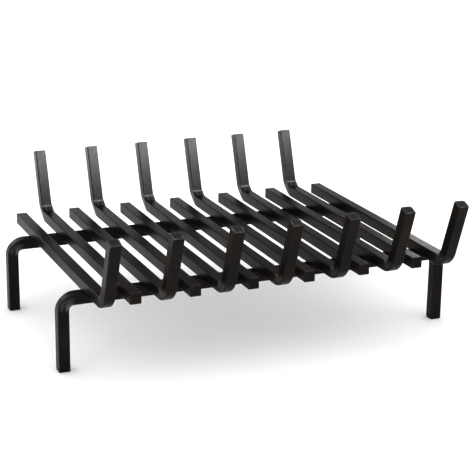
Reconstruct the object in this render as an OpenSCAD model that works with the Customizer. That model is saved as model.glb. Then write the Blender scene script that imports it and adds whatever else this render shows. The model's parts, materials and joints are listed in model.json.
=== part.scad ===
// Log grate of solid square steel bar. Two rails, each bent down at both ends into legs,
// carry a row of cross bars. Every other bar is turned round, so that one ends in a prong
// at the front and the next in a prong at the back. Each crossing is welded from below.
// Origin on the hearth under the middle of the grate, +X along the rails, +Y to the back.

/* [Frame] */
// Length of a leg rail over the outer faces of its legs
rail_length = 590; // [440:2:760]
// Depth over the outer faces of the two leg rails
frame_depth = 276; // [180:2:400]
// Height of the top of the leg rails above the hearth
rail_height = 110; // [60:1:180]
// Side of the square bar that the leg rails are bent from
rail_bar = 16; // [12:0.5:22]
// Inside radius of the bends from rail to leg
leg_bend_radius = 10; // [4:0.5:18]

/* [Cross bars] */
// Number of cross bars, odd so that both end bars have their prong at the front
bar_count = 13; // [7:2:17]
// Side of the square bar that the cross bars are bent from
cross_bar = 16; // [10:0.5:20]
// Length of rail between the bend of a leg and the nearest cross bar
end_gap = 10; // [1:1:40]
// Length of a bar's plain end past the outer face of the rail
stub_overhang = 68; // [15:1:110]

/* [Prongs] */
// Distance from the outer face of the rail to the outer corner where the prong turns up
prong_overhang = 81.5; // [45:0.5:130]
// Length of a prong along its outer face, from that corner to the tip
prong_length = 104; // [50:1:180]
// Lean of a prong outwards from upright, in degrees
prong_lean = 19.5; // [0:0.5:40]
// Inside radius of the bend from bar to prong
prong_bend_radius = 15; // [4:0.5:24]

/* [Edges and welds] */
// Radius of the softened long edges of every bar
edge_radius = 1; // [0.4:0.1:2]
// Chamfer round the cut ends of every bar
end_chamfer = 0.8; // [0.3:0.1:1.8]
// Amount by which the bar draws in on each side where it is bent
bend_draw = 0.05; // [0.02:0.01:0.3]
// Leg length of a weld bead, down the rail and out along the bar
weld_leg = 5; // [3:0.5:7]
// Spacing of the ripples along a weld bead
weld_ripple = 2.4; // [1.8:0.2:4]

/* [Hidden] */
$fn = 64;
front_bar_count = (bar_count + 1) / 2;
rear_bar_count = (bar_count - 1) / 2;
front_bar_names = [for (i = [1:front_bar_count]) str("front_prong_bar_", i)];
rear_bar_names = [for (i = [1:rear_bar_count]) str("rear_prong_bar_", i)];
weld_names = [for (name = concat(front_bar_names, rear_bar_names)) str(name, "_welds")];

bar_colour = "#211f1d";
weld_colour = "#2b2826";

rail_y = (frame_depth - rail_bar) / 2;
end_bar_x = rail_length / 2 - rail_bar - leg_bend_radius - end_gap - cross_bar / 2;
bar_pitch = 2 * end_bar_x / (bar_count - 1);
prong_turn = 90 - prong_lean;
bend_reach = 1;
cut_margin = 1;
ripple_swell = 0.75;

// Length that a bend takes from each outer face, measured from their sharp corner
function bend_setback(bar, inner_radius, turn) = (inner_radius + bar) * tan(turn / 2);

// Position of a cross bar, counted from the left: front-prong bars stand in the odd places
function bar_x(place) = (place - 1) * bar_pitch - end_bar_x;
function front_place(i) = 2 * i - 1;
function rear_place(i) = 2 * i;

// Section of a square bar with softened edges, centred
module bar_section(bar) {
    flat = bar - 2 * edge_radius;
    square([bar, flat], center = true);
    square([flat, bar], center = true);
    for (x = [-1, 1], y = [-1, 1])
        translate([x * flat / 2, y * flat / 2])
            circle(r = edge_radius);
}

// Straight run along +X
module straight(bar, length) {
    rotate([0, 90, 0])
        linear_extrude(length)
            bar_section(bar);
}

// Outline that cuts the end of a run at +X, wider than the bar at its sides and open behind it
module end_outline(bar, length) {
    half = bar / 2;
    polygon([
        [-cut_margin, -bar],
        [length - end_chamfer - half, -bar],
        [length, end_chamfer - half],
        [length, half - end_chamfer],
        [length - end_chamfer - half, bar],
        [-cut_margin, bar]
    ]);
}

// Straight run along +X whose far end is cut square, with its four edges chamfered
module cut_end(bar, length) {
    intersection() {
        straight(bar, length);
        linear_extrude(2 * bar, center = true)
            end_outline(bar, length);
        rotate([90, 0, 0])
            linear_extrude(2 * bar, center = true)
                end_outline(bar, length);
    }
}

// Places what follows a bend at the bend's far end, along its new direction
module past_bend(bar, inner_radius, turn) {
    centre_radius = inner_radius + bar / 2;
    translate([0, 0, centre_radius])
        rotate([0, -turn, 0])
            translate([0, 0, -centre_radius])
                children();
}

// Bend that starts at the origin along +X and turns up towards +Z. Its section is a hair
// smaller, because bar draws in where it is bent, and it reaches into the straight at each end.
module bend(bar, inner_radius, turn) {
    centre_radius = inner_radius + bar / 2;
    rotate([90, 0, 0])
        translate([0, centre_radius, 0])
            rotate(-90 - bend_reach)
                rotate_extrude(angle = turn + 2 * bend_reach)
                    translate([centre_radius, 0])
                        bar_section(bar - 2 * bend_draw);
}

// Bend up towards +Z and the straight tail after it, at the end of a run along +X.
// The tail's length is taken along its outer face, from the sharp corner of the bend.
module bent_tail(bar, inner_radius, turn, tail) {
    bend(bar, inner_radius, turn);
    past_bend(bar, inner_radius, turn)
        cut_end(bar, tail - bend_setback(bar, inner_radius, turn));
}

// Rail along X on two legs, at the given place in the depth of the grate
module leg_rail(y) {
    bend_x = rail_length / 2 - bend_setback(rail_bar, leg_bend_radius, 90);
    color(bar_colour)
        translate([0, y, rail_height - rail_bar / 2]) {
            translate([-bend_x, 0, 0])
                straight(rail_bar, 2 * bend_x);
            for (side = [0, 1])
                mirror([side, 0, 0])
                    translate([bend_x, 0, 0])
                        mirror([0, 0, 1])
                            bent_tail(rail_bar, leg_bend_radius, 90, rail_height);
        }
}

// Cross bar across the middle of the frame, its prong towards +X and its plain end towards -X
module prong_bar() {
    bend_x = frame_depth / 2 + prong_overhang - bend_setback(cross_bar, prong_bend_radius, prong_turn);
    color(bar_colour)
        translate([bend_x, 0, 0]) {
            mirror([1, 0, 0])
                cut_end(cross_bar, bend_x + frame_depth / 2 + stub_overhang);
            bent_tail(cross_bar, prong_bend_radius, prong_turn, prong_length);
        }
}

// Outline of half a weld bead, its axis along Y, with one swelling for each ripple
module bead_outline(length) {
    swelling = ripple_swell * weld_ripple;
    waist = weld_leg - swelling;
    ripples = floor((length - 2 * swelling) / weld_ripple);
    first = (length - ripples * weld_ripple) / 2;
    polygon([[0, 0], [waist, first], [waist, length - first], [0, length]]);
    for (i = [0:ripples])
        translate([waist, first + i * weld_ripple])
            circle(r = swelling);
}

// Quarter-round bead along +X, in the corner below a bar and towards +Y from a rail's side
module weld_bead() {
    length = cross_bar - 2 * edge_radius;
    translate([-length / 2, 0, 0])
        rotate([0, 90, 0])
            rotate_extrude(angle = 90)
                bead_outline(length);
}

// The four beads that hold one cross bar, one on each side of each rail
module bar_welds(x) {
    color(weld_colour)
        for (end = [0, 1], side = [0, 1])
            translate([x, 0, rail_height])
                mirror([0, end, 0])
                    translate([0, rail_y, 0])
                        mirror([0, side, 0])
                            translate([0, rail_bar / 2, 0])
                                weld_bead();
}

module front_leg_rail() {
    leg_rail(-rail_y);
}

module rear_leg_rail() {
    leg_rail(rail_y);
}

module front_prong_bar(i) {
    translate([bar_x(front_place(i)), 0, rail_height + cross_bar / 2])
        rotate(-90)
            prong_bar();
}

module rear_prong_bar(i) {
    translate([bar_x(rear_place(i)), 0, rail_height + cross_bar / 2])
        rotate(90)
            prong_bar();
}

front_leg_rail();
rear_leg_rail();
for (i = [1:front_bar_count]) {
    name = front_bar_names[i - 1];
    front_prong_bar(i);
    bar_welds(bar_x(front_place(i)));
}
for (i = [1:rear_bar_count]) {
    name = rear_bar_names[i - 1];
    rear_prong_bar(i);
    bar_welds(bar_x(rear_place(i)));
}
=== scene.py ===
import json
import math

import bmesh
import bpy
from mathutils import Matrix, Vector, noise

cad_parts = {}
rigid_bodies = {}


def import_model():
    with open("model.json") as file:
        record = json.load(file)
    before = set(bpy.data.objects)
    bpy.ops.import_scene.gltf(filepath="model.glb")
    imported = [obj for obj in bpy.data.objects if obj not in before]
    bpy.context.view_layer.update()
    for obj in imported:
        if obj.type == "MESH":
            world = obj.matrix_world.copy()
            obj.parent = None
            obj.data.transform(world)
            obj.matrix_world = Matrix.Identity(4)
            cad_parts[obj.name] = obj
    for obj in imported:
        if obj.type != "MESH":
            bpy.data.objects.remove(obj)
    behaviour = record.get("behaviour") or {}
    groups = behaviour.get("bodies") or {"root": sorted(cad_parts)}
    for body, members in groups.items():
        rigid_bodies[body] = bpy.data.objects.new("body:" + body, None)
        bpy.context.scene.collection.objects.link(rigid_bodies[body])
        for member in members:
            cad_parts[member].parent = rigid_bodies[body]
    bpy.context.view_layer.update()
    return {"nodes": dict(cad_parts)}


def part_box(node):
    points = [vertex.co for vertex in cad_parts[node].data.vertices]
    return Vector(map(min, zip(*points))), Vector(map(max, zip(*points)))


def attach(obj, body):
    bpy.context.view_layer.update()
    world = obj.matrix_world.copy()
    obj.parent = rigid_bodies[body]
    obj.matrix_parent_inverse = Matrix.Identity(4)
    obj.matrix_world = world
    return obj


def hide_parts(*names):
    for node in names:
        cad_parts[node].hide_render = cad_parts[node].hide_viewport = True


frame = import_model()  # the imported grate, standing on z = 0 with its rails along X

scene = bpy.context.scene
print("frame loaded, pieces:", len(frame["nodes"]))


# the view: front left, a little above the grate
cameraView = {
    "place": (-0.7898, -1.8810, 0.7510),
    "heading": 23.245,  # degrees to the right of straight back
    "dip": 17.12,  # degrees below the horizon
    "roll": 0.75,  # degrees anticlockwise
    "lens": 110.64,  # mm
    "sensor": 36.0,  # mm
    "clip": (0.05, 60),
}


def placeCamera():
    data = bpy.data.cameras.new("viewCamera")
    data.lens = cameraView["lens"]
    data.sensor_width = cameraView["sensor"]
    data.clip_start, data.clip_end = cameraView["clip"]
    camera = bpy.data.objects.new("viewCamera", data)
    heading, dip, roll = (math.radians(cameraView[name]) for name in ("heading", "dip", "roll"))
    turn = Matrix.Rotation(-heading, 4, "Z") @ Matrix.Rotation(math.pi / 2 - dip, 4, "X")
    turn = turn @ Matrix.Rotation(roll, 4, "Z")
    camera.matrix_world = Matrix.Translation(cameraView["place"]) @ turn
    scene.collection.objects.link(camera)
    scene.camera = camera


placeCamera()
print("camera placed")


# node helpers
def addNode(tree, kind, inputs=None, **settings):
    node = tree.nodes.new(kind)
    for name, value in settings.items():
        setattr(node, name, value)
    for socket, value in (inputs or {}).items():
        if isinstance(value, bpy.types.NodeSocket):
            tree.links.new(value, node.inputs[socket])
        else:
            node.inputs[socket].default_value = value
    return node


def attributeValue(tree, name):
    return addNode(tree, "ShaderNodeAttribute", attribute_name=name).outputs["Fac"]


def noiseValue(tree, place, pattern):
    scale, detail, roughness = pattern
    inputs = {"Vector": place, "Scale": scale, "Detail": detail, "Roughness": roughness}
    return addNode(tree, "ShaderNodeTexNoise", inputs).outputs["Fac"]


def mapValue(tree, value, old, new):
    inputs = {"Value": value, "From Min": old[0], "From Max": old[1], "To Min": new[0], "To Max": new[1]}
    return addNode(tree, "ShaderNodeMapRange", inputs).outputs["Result"]


def mathValue(tree, operation, first, second):
    return addNode(tree, "ShaderNodeMath", {0: first, 1: second}, operation=operation).outputs[0]


def mixColour(tree, share, first, second):
    # a Mix node names its sockets alike for each data type: 6 and 7 take colours, 2 gives one
    inputs = {0: share, 6: first, 7: second}
    return addNode(tree, "ShaderNodeMix", inputs, data_type="RGBA").outputs[2]


def bumpNormal(tree, height):
    inputs = {"Height": height, "Distance": 1.0, "Strength": 1.0}
    return addNode(tree, "ShaderNodeBump", inputs).outputs["Normal"]


def startPaint(name):
    material = bpy.data.materials.new(name)
    material.use_nodes = True
    material.node_tree.nodes.clear()
    return material, material.node_tree


def finishPaint(tree, inputs):
    shader = addNode(tree, "ShaderNodeBsdfPrincipled", inputs)
    addNode(tree, "ShaderNodeOutputMaterial", {"Surface": shader.outputs["BSDF"]})


# black hearth paint over hot-rolled bar
barPaint = {
    "black": (0.0058, 0.0054, 0.0052, 1),
    "warm": (0.0150, 0.0094, 0.0062, 1),  # thinner coat, brown undertone
    "scuff": (0.22, 0.218, 0.215, 1),  # painted highlight in streaks on the bends, where a bent face would mirror the light
    "bareSteel": (0.29, 0.29, 0.30, 1),  # edges rubbed through to the steel
    "roughness": (0.26, 0.38),
    "specular": 0.16,
    "patches": (16, 4, 0.5),  # of each pattern, the scale per metre, detail and roughness
    "mottle": (150, 5, 0.6),
    "peel": (620, 2, 0.5),
    "worn": (130, 2, 0.5),
    "streaks": (30, 4, 0.55),
    "streakStretch": 18,  # how much finer the streaks are across the bar than along it
    "peelDepth": 0.00002,
    "mottleDepth": 0.00006,  # mill scale felt through the paint
    "streakDepth": 0.00004,
    "warmRange": (0.38, 0.66),  # patch values between black and warm
    "scuffRange": (0.46, 0.62),
    "scuffing": (0.08, 1),  # share of the painted bend highlight, between and on the streaks
    "wornRange": (0.52, 0.66),
    "wear": (0.11, 0.38),  # between and on the worn spots
    "glossRange": (0.7, 1.3),  # of mottle and streaks together
    "rimFade": 6,  # the higher, the narrower the worn rims
}


def makeBarPaint():
    material, tree = startPaint("blackHearthPaint")
    place = addNode(tree, "ShaderNodeTexCoord").outputs["Object"]
    around = mathValue(tree, "MULTIPLY", attributeValue(tree, "aroundBar"), barPaint["streakStretch"])
    strip = addNode(tree, "ShaderNodeCombineXYZ", {"X": attributeValue(tree, "alongBar"), "Y": around})
    streaks = noiseValue(tree, strip.outputs["Vector"], barPaint["streaks"])
    patches, mottle, peel, worn = (
        noiseValue(tree, place, barPaint[name]) for name in ("patches", "mottle", "peel", "worn"))

    warmth = mapValue(tree, patches, barPaint["warmRange"], (0, 1))
    body = mixColour(tree, warmth, barPaint["black"], barPaint["warm"])
    # painted highlight: lighter streaks mixed into the colour on the bends, in place of light mirrored
    # there
    bendHighlights = mapValue(tree, streaks, barPaint["scuffRange"], barPaint["scuffing"])
    bendHighlights = mathValue(tree, "MULTIPLY", attributeValue(tree, "bentShare"), bendHighlights)
    body = mixColour(tree, bendHighlights, body, barPaint["scuff"])
    rim = mathValue(tree, "POWER", attributeValue(tree, "edgeShare"), barPaint["rimFade"])
    rubbed = mapValue(tree, worn, barPaint["wornRange"], barPaint["wear"])
    rubbed = mathValue(tree, "MULTIPLY", rim, rubbed)
    gloss = mathValue(tree, "ADD", mottle, streaks)

    height = mathValue(tree, "MULTIPLY", peel, barPaint["peelDepth"])
    for pattern, depth in ((mottle, "mottleDepth"), (streaks, "streakDepth")):
        height = mathValue(tree, "ADD", height, mathValue(tree, "MULTIPLY", pattern, barPaint[depth]))
    finishPaint(tree, {
        "Base Color": mixColour(tree, rubbed, body, barPaint["bareSteel"]),
        "Metallic": rubbed,
        "Roughness": mapValue(tree, gloss, barPaint["glossRange"], barPaint["roughness"]),
        "Specular IOR Level": barPaint["specular"],
        "Normal": bumpNormal(tree, height),
    })
    return material


# the same paint, pooled between the ripples of a weld
beadPaint = {
    "crest": (0.0200, 0.0170, 0.0150, 1),
    "valley": (0.0060, 0.0055, 0.0050, 1),
    "roughness": (0.34, 0.52),
    "specular": 0.30,
    "grain": (900, 4, 0.5),  # scale per metre, detail and roughness
    "grainDepth": 0.00003,
    "grainRange": (0.3, 0.7),
    "bared": (0.4, 1),  # share of the crest colour, least and most
}


def makeBeadPaint():
    material, tree = startPaint("paintedWeld")
    place = addNode(tree, "ShaderNodeTexCoord").outputs["Object"]
    grain = noiseValue(tree, place, beadPaint["grain"])
    share = mapValue(tree, grain, beadPaint["grainRange"], beadPaint["bared"])
    share = mathValue(tree, "MULTIPLY", attributeValue(tree, "rippleCrest"), share)
    finishPaint(tree, {
        "Base Color": mixColour(tree, share, beadPaint["valley"], beadPaint["crest"]),
        "Roughness": mapValue(tree, grain, beadPaint["grainRange"], beadPaint["roughness"]),
        "Specular IOR Level": beadPaint["specular"],
        "Normal": bumpNormal(tree, mathValue(tree, "MULTIPLY", grain, beadPaint["grainDepth"])),
    })
    return material


barMaterial = makeBarPaint()
beadMaterial = makeBeadPaint()
print("paint mixed")


# square bar, swept along its centreline and bent
barForm = {
    "edgeRadius": 0.0013,
    "edgeSteps": 4,
    "flatCuts": 4,
    "holdGap": 0.0005,  # last row of a flat, beside the rounded edge
    "ringGap": 0.008,  # between rings on a straight run
    "bendStep": 4.0,  # degrees between rings in a bend
    "endRound": 0.0012,
    "endSteps": 4,
    "endHold": 0.0018,  # last ring before a cut end, which keeps its wear from creeping along the bar
    "swell": 0.18,  # the inside of a bend spreads and the outside thins, as a share of the width
    "swellEase": 1.4,  # the higher, the softer a bend starts to swell
    "outerScuff": 0.3,  # painted highlight outside a bend, as a share of that inside it
    "waveDepth": 0.00016,
    "waveLength": 0.05,
    "waveStart": (0.0, 7.1, 3.3),
    "waveStride": (5.3, 2.9, 0.0),  # for each step of the seed, so that no two bars are alike
    "longEdgeWear": 0.7,
    "flatWeight": 80,  # the higher, the flatter the flats are shaded
}


def addSection(bm, side):
    # a square with rounded corners, facing along X
    made = bmesh.ops.create_grid(bm, x_segments=1, y_segments=1, size=side / 2)
    bmesh.ops.bevel(
        bm, geom=made["verts"], offset=barForm["edgeRadius"], offset_type="OFFSET",
        segments=barForm["edgeSteps"], profile=0.5, affect="VERTICES", material=-1)
    flats = [edge for edge in bm.edges if edge.calc_length() > side / 2]
    bmesh.ops.subdivide_edges(bm, edges=flats, cuts=barForm["flatCuts"])
    flatHalf = side / 2 - barForm["edgeRadius"]
    for vert in bm.verts:
        for axis in (0, 1):
            # the outer cut of a flat moves out beside the rounded edge
            if 0.4 * flatHalf < abs(vert.co[axis]) < 0.9 * flatHalf:
                vert.co[axis] = math.copysign(flatHalf - barForm["holdGap"], vert.co[axis])
    bmesh.ops.rotate(bm, verts=bm.verts, cent=(0, 0, 0), matrix=Matrix.Rotation(math.pi / 2, 3, "Y"))
    layer = {name: bm.verts.layers.float.new(name)
             for name in ("across", "depth", "alongBar", "aroundBar", "edgeShare", "bentShare")}
    for vert in bm.verts:
        vert[layer["across"]], vert[layer["depth"]] = vert.co.y, vert.co.z
        vert[layer["aroundBar"]] = side * (math.atan2(vert.co.z, vert.co.y) / math.pi * 2 + 2)
        rounded = min(abs(vert.co.y), abs(vert.co.z)) > flatHalf - barForm["holdGap"] / 2
        vert[layer["edgeShare"]] = barForm["longEdgeWear"] if rounded else 0.0
    return layer


def drawIn(form, turn, turned):
    # how far the tight corner inside a bend lies below an even arc
    radius, tight = form["insideRadius"], form["tightRadius"]
    fromFlat = min(turned, turn - turned)
    if math.tan(fromFlat) < (1 - tight / radius) * math.tan(turn / 2):
        return radius / math.cos(fromFlat) - radius
    middle = (radius - tight) / math.cos(turn / 2)
    off = turn / 2 - fromFlat
    return middle * math.cos(off) + math.sqrt(tight ** 2 - (middle * math.sin(off)) ** 2) - radius


def sweepBar(form, side, moves, seed):
    # moves are ("run", metres) and ("bend", degrees), which turns the bar up towards Z
    bm = bmesh.new()
    layer = addSection(bm, side)
    tip = list(bm.faces)
    centre, heading, travelled = Vector((0, 0, 0)), 0.0, 0.0
    bendRadius = form["insideRadius"] + side / 2
    hold = barForm["endHold"]
    outerScuff = barForm["outerScuff"]
    start, finish = (("run", moves[end][1] - hold) for end in (0, -1))
    for kind, amount in (("run", hold), start, *moves[1:-1], finish, ("run", hold)):
        bent = kind == "bend"
        turn = math.radians(amount) if bent else 0.0
        length = bendRadius * turn if bent else amount
        steps = max(1, round(amount / (barForm["bendStep"] if bent else barForm["ringGap"])))
        pivot = centre + Vector((-math.sin(heading), 0, math.cos(heading))) * bendRadius
        for step in range(1, steps + 1):
            if bent:
                angle = heading + turn * step / steps
                place = pivot + Vector((math.sin(angle), 0, -math.cos(angle))) * bendRadius
            else:
                angle = heading
                place = centre + Vector((math.cos(angle), 0, math.sin(angle))) * length * step / steps
            made = bmesh.ops.spin(bm, geom=tip, steps=1, cent=pivot, axis=(0, -1, 0), angle=turn / steps)
            tip = made["geom_last"]
            travelled += length / steps
            upset = math.sin(math.pi * step / steps) ** barForm["swellEase"] if bent else 0.0
            sunk = drawIn(form, turn, turn * step / steps) if bent else 0.0
            inwards = Vector((-math.sin(angle), 0, math.cos(angle)))
            for vert in (part for part in tip if isinstance(part, bmesh.types.BMVert)):
                across, depth = vert[layer["across"]], vert[layer["depth"]]
                share = depth / side + 0.5  # 0 outside a bend, 1 inside it
                vert.co = place + inwards * (depth - sunk * share)
                vert.co.y = across * (1 + barForm["swell"] * upset * (2 * share - 1))
                vert[layer["alongBar"]] = travelled
                # how much painted highlight a bend gets: most inside it, less outside
                vert[layer["bentShare"]] = form["scuffed"] * upset * (outerScuff + (1 - outerScuff) * share)
        centre, heading = place, angle
    roundEnds(form, bm, layer)
    waver(bm, seed)
    for name in ("across", "depth"):  # only the sweep needs these
        bm.verts.layers.float.remove(bm.verts.layers.float[name])
    return bm


def roundEnds(form, bm, layer):
    # the two cut ends, their rims eased
    firstWear, lastWear = form["endWear"]
    sideCount = 4 * (barForm["edgeSteps"] + barForm["flatCuts"] + 1)
    rims = {edge for face in bm.faces if len(face.verts) == sideCount for edge in face.edges}
    made = bmesh.ops.bevel(
        bm, geom=list(rims), offset=barForm["endRound"], offset_type="OFFSET",
        segments=barForm["endSteps"], profile=0.5, affect="EDGES", clamp_overlap=False, material=-1)
    for vert in made["verts"]:
        atFinish = vert[layer["alongBar"]] > barForm["endHold"]
        vert[layer["edgeShare"]] = lastWear if atFinish else firstWear
    caps = [face for face in bm.faces if len(face.verts) == sideCount]
    for vert in bmesh.ops.poke(bm, faces=caps)["verts"]:
        vert[layer["edgeShare"]] = 0.0


def waver(bm, seed):
    # rolled bar is never quite flat; this only takes away, so the bar keeps to its size
    bmesh.ops.recalc_face_normals(bm, faces=bm.faces)
    bm.normal_update()
    shift = Vector([seed * stride + first
                    for stride, first in zip(barForm["waveStride"], barForm["waveStart"])])
    for vert in bm.verts:
        wave = noise.noise(vert.co / barForm["waveLength"] + shift)
        vert.co -= vert.normal * barForm["waveDepth"] * (0.5 + 0.5 * wave)


def addPiece(name, bm, material, node):
    for face in bm.faces:
        face.smooth = True
    mesh = bpy.data.meshes.new(name)
    bm.to_mesh(mesh)
    bm.free()
    piece = bpy.data.objects.new(name, mesh)
    scene.collection.objects.link(piece)
    mesh.materials.append(material)
    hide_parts(node)
    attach(piece, "root")
    return piece


def addBar(name, bm, node):
    piece = addPiece(name, bm, barMaterial, node)
    flats = piece.modifiers.new("flatShading", "WEIGHTED_NORMAL")
    flats.mode = "FACE_AREA"
    flats.weight = barForm["flatWeight"]


# leg rails
railForm = {
    "insideRadius": 0.010,
    "tightRadius": 0.0055,  # the corner inside a bend, where the bar has upset
    # strength of the painted highlight on the bends
    "scuffed": 1.0,
    "endWear": (0.75, 0.75),  # rims of the two feet
}


def makeLegRail(name, node):
    low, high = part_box(node)
    side = high.y - low.y
    setback = railForm["insideRadius"] + side
    leg = ("run", high.z - low.z - setback)
    rail = ("run", high.x - low.x - 2 * setback)
    seed = 40 + low.y * 10  # from its place in the grate
    bm = sweepBar(railForm, side, [leg, ("bend", 90), rail, ("bend", 90), leg], seed)
    # swept up the left leg, along the rail and down the right leg
    stand = Matrix((
        (0, 0, 1, low.x + side / 2),
        (0, -1, 0, low.y + side / 2),
        (1, 0, 0, low.z),
        (0, 0, 0, 1)))
    bmesh.ops.transform(bm, matrix=stand, verts=bm.verts)
    addBar(name, bm, node)


makeLegRail("frontLegRail", "front_leg_rail")
makeLegRail("rearLegRail", "rear_leg_rail")
print("leg rails made")


# cross bars with a prong
prongForm = {
    "insideRadius": 0.015,
    "tightRadius": 0.011,
    # strength of the painted highlight on the bends
    "scuffed": 0.3,
    "endWear": (0.75, 1.0),  # rims of the plain end and of the tip, which is rubbed most
    "lean": 19.5,  # degrees outwards from upright
    "length": 0.104,  # along the outer face, from the corner to the tip
    "endChamfer": 0.0008,  # of the CAD bar, which sets how far its tip reaches
}


def makeProngBar(name, node, turned):
    low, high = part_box(node)
    side = high.x - low.x
    lean, turn = prongForm["lean"], 90 - prongForm["lean"]
    setback = (prongForm["insideRadius"] + side) * math.tan(math.radians(turn) / 2)
    leanOut = (prongForm["length"] - prongForm["endChamfer"]) * math.sin(math.radians(lean))
    run = high.y - low.y - leanOut - setback
    moves = [("run", run), ("bend", turn), ("run", prongForm["length"] - setback)]
    seed = low.x * 100  # from its place in the grate
    bm = sweepBar(prongForm, side, moves, seed)
    start = Vector(((low.x + high.x) / 2, low.y if turned else high.y, low.z + side / 2))
    place = Matrix.Translation(start) @ Matrix.Rotation(math.radians(90 if turned else -90), 4, "Z")
    bmesh.ops.transform(bm, matrix=place, verts=bm.verts)
    addBar(name, bm, node)


for node in sorted(frame["nodes"]):
    if "prong_bar" in node and not node.endswith("welds"):
        where, number = node.split("_")[0], node.split("_")[-1]
        makeProngBar(where + "ProngBar" + number, node, where == "rear")
print("prong bars made")


# weld beads under each crossing
beadForm = {
    "leg": 0.005,
    "rowGap": 0.0003,
    "arcSteps": 10,
    "hollow": 0.13,  # how far the face lies inside a quarter round, half way
    "ripple": 0.0017,  # spacing of the ripples
    "rippleDepth": 0.10,
    "rippleLag": 0.75,  # ripples trail in the middle of the face, in spacings
    "rippleEase": 0.6,  # the lower, the rounder the crests and the sharper the valleys
    "beat": (260, 0.35),  # uneven spacing: scale per metre, and size in spacings
    "wander": (300, 0.10),  # uneven toes: scale per metre, and share of the leg
    "endLength": 0.0022,
    "endShare": 0.35,  # of the leg, left at the very end
    "sunk": 0.00015,  # into both bars, so that no gap shows
}


def addBead(bm, layer, length, place, seed):
    # a flat strip in the corner, spun a quarter turn about the corner line
    rows = round(length / beadForm["rowGap"])
    strip = bmesh.ops.create_grid(bm, x_segments=rows, y_segments=1, size=0.5)["verts"]
    bmesh.ops.translate(bm, verts=strip, vec=(0, 0.5, 0))
    bmesh.ops.scale(bm, verts=strip, vec=(length, beadForm["leg"], 1))
    faces = list({face for vert in strip for face in vert.link_faces})
    before = set(bm.verts) - set(strip)
    bmesh.ops.spin(bm, geom=faces, cent=(0, 0, 0), axis=(1, 0, 0), dvec=(0, 0, 0),
                   angle=math.pi / 2, steps=beadForm["arcSteps"])
    own = [vert for vert in bm.verts if vert not in before]
    bmesh.ops.remove_doubles(bm, verts=own, dist=1e-7)
    own = [vert for vert in bm.verts if vert not in before]
    beatScale, beatSize = beadForm["beat"]
    wanderScale, wanderSize = beadForm["wander"]
    endShare = beadForm["endShare"]
    for vert in own:
        if math.hypot(vert.co.y, vert.co.z) < 1e-6:
            continue  # on the corner line
        arc = math.atan2(vert.co.z, vert.co.y)
        middle = math.sin(2 * arc)
        beat = noise.noise(Vector((vert.co.x * beatScale, seed, 0.5)))
        phase = vert.co.x / beadForm["ripple"] + beadForm["rippleLag"] * middle + beatSize * beat
        crest = abs(math.sin(math.pi * phase)) ** beadForm["rippleEase"]
        wander = wanderSize * noise.noise(Vector((vert.co.x * wanderScale, seed * 3.7, arc)))
        fromEnd = min(1.0, (length / 2 - abs(vert.co.x)) / beadForm["endLength"])
        taper = endShare + (1 - endShare) * math.sqrt(max(0.0, 1 - (1 - fromEnd) ** 2))
        lost = beadForm["hollow"] * middle + beadForm["rippleDepth"] * (1 - crest) + abs(wander)
        vert[layer] = crest
        vert.co.y *= taper * (1 - lost)
        vert.co.z *= taper * (1 - lost)
    bmesh.ops.transform(bm, matrix=place, verts=own)


def makeBeads(name, node, barNode):
    barLow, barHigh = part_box(barNode)
    length = barHigh.x - barLow.x - 2 * barForm["edgeRadius"]
    sunk = beadForm["sunk"]
    bm = bmesh.new()
    layer = bm.verts.layers.float.new("rippleCrest")
    for rail in ("front_leg_rail", "rear_leg_rail"):
        railLow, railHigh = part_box(rail)
        for face, outward in ((railLow.y, -1), (railHigh.y, 1)):
            corner = Vector(((barLow.x + barHigh.x) / 2, face - outward * sunk, railHigh.z + sunk))
            # local Y runs out along the bar and local Z down the rail
            place = Matrix((
                (1, 0, 0, corner.x),
                (0, outward, 0, corner.y),
                (0, 0, -1, corner.z),
                (0, 0, 0, 1)))
            seed = corner.x * 40 + corner.y * 90  # from its place in the grate
            addBead(bm, layer, length, place, seed)
    bmesh.ops.recalc_face_normals(bm, faces=bm.faces)
    addPiece(name, bm, beadMaterial, node)


for node in sorted(frame["nodes"]):
    if node.endswith("welds"):
        where, number = node.split("_")[0], node.split("_")[3]
        makeBeads(where + "ProngBar" + number + "Beads", node, node.replace("_welds", ""))
print("weld beads made")


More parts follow.
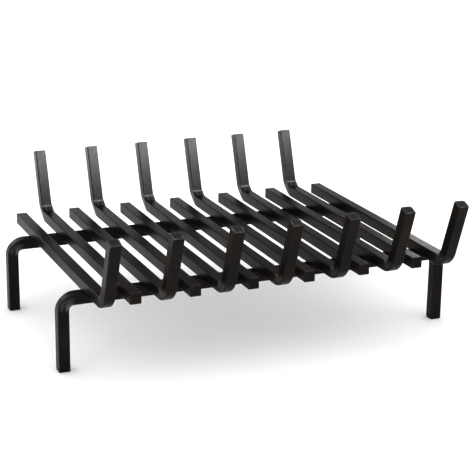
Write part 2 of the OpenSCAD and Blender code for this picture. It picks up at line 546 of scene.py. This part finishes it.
# studio: pale floor, even light from all round, and soft boxes that only the paint mirrors
studio = {
    "floorSize": 40.0,
    "floorSegments": 8,
    "floorColour": (0.86, 0.86, 0.86, 1),
    "floorRoughness": 0.9,
    "evenLight": 1.6,
    "gamma": 0.77,  # of the view, for deep blacks and a floor that burns out to white
    "softBoxes": {  # place, the point it faces, size, strength, and the bars it lights, if not all
        "overheadBox": ((0.0, 0.0, 2.6), (0.0, 0.0, 0.1), (5.6, 5.6), 1.5, None),
        "keyBox": ((0.7, -2.0, 1.2), (0.0, 0.0, 0.18), (0.9, 0.6), 3, None),
        "prongBox": ((0.14, -0.15, 0.42), (0.14, 0.2, 0.24), (0.70, 0.09), 52, "rearProngBar"),
        "rearBox": ((0.15, 0.7, 0.195), (0.15, 0.0, 0.195), (1.3, 0.29), 1.3, None),
        "rightBox": ((0.9, 0.7, 0.40), (0.9, 0.0, 0.40), (0.4, 0.22), 5.5, None),
        "leftBox": ((-0.5, 0.7, 0.38), (-0.5, 0.0, 0.3), (0.3, 0.18), 2.2, None),
        "tipBox": ((1.10, -1.25, 2.25), (0.0, -0.2, 0.2), (0.6, 0.35), 330, "frontProngBar"),
        "leftWall": ((-1.6, 0.0, 0.5), (0.0, 0.0, 0.3), (2.2, 0.6), 0.5, None),
        "rightWall": ((1.6, 0.0, 0.5), (0.0, 0.0, 0.3), (2.2, 0.6), 0.5, None),
    },
}


def makeFloor():
    bm = bmesh.new()
    segments = studio["floorSegments"]
    bmesh.ops.create_grid(bm, x_segments=segments, y_segments=segments, size=studio["floorSize"] / 2)
    mesh = bpy.data.meshes.new("studioFloor")
    bm.to_mesh(mesh)
    bm.free()
    floor = bpy.data.objects.new("studioFloor", mesh)
    scene.collection.objects.link(floor)
    material, tree = startPaint("paleFloor")
    finishPaint(tree, {
        "Base Color": studio["floorColour"],
        "Roughness": studio["floorRoughness"],
        "Specular IOR Level": 0.0,
    })
    mesh.materials.append(material)


def makeEvenLight():
    world = bpy.data.worlds.new("evenLight")
    scene.world = world
    world.use_nodes = True
    background = world.node_tree.nodes["Background"]
    background.inputs["Color"].default_value = (1, 1, 1, 1)
    background.inputs["Strength"].default_value = studio["evenLight"]
    world.cycles_visibility.glossy = False  # the paint mirrors the soft boxes and the floor


def makeSoftBoxes():
    for name, (place, faces, size, strength, only) in studio["softBoxes"].items():
        data = bpy.data.lights.new(name, "AREA")
        data.shape = "RECTANGLE"
        data.size, data.size_y = size
        data.energy = math.pi * data.size * data.size_y * strength
        lamp = bpy.data.objects.new(name, data)
        lamp.location = place
        lamp.rotation_euler = (Vector(faces) - Vector(place)).to_track_quat("-Z", "Y").to_euler()
        lamp.visible_camera = lamp.visible_diffuse = False
        scene.collection.objects.link(lamp)
        if only:
            lit = bpy.data.collections.new(name + "Lit")
            for piece in scene.objects:
                if piece.name.startswith(only):
                    lit.objects.link(piece)
            lamp.light_linking.receiver_collection = lit


makeFloor()
makeEvenLight()
makeSoftBoxes()
scene.view_settings.view_transform = "Standard"
scene.view_settings.gamma = studio["gamma"]
print("studio lit")
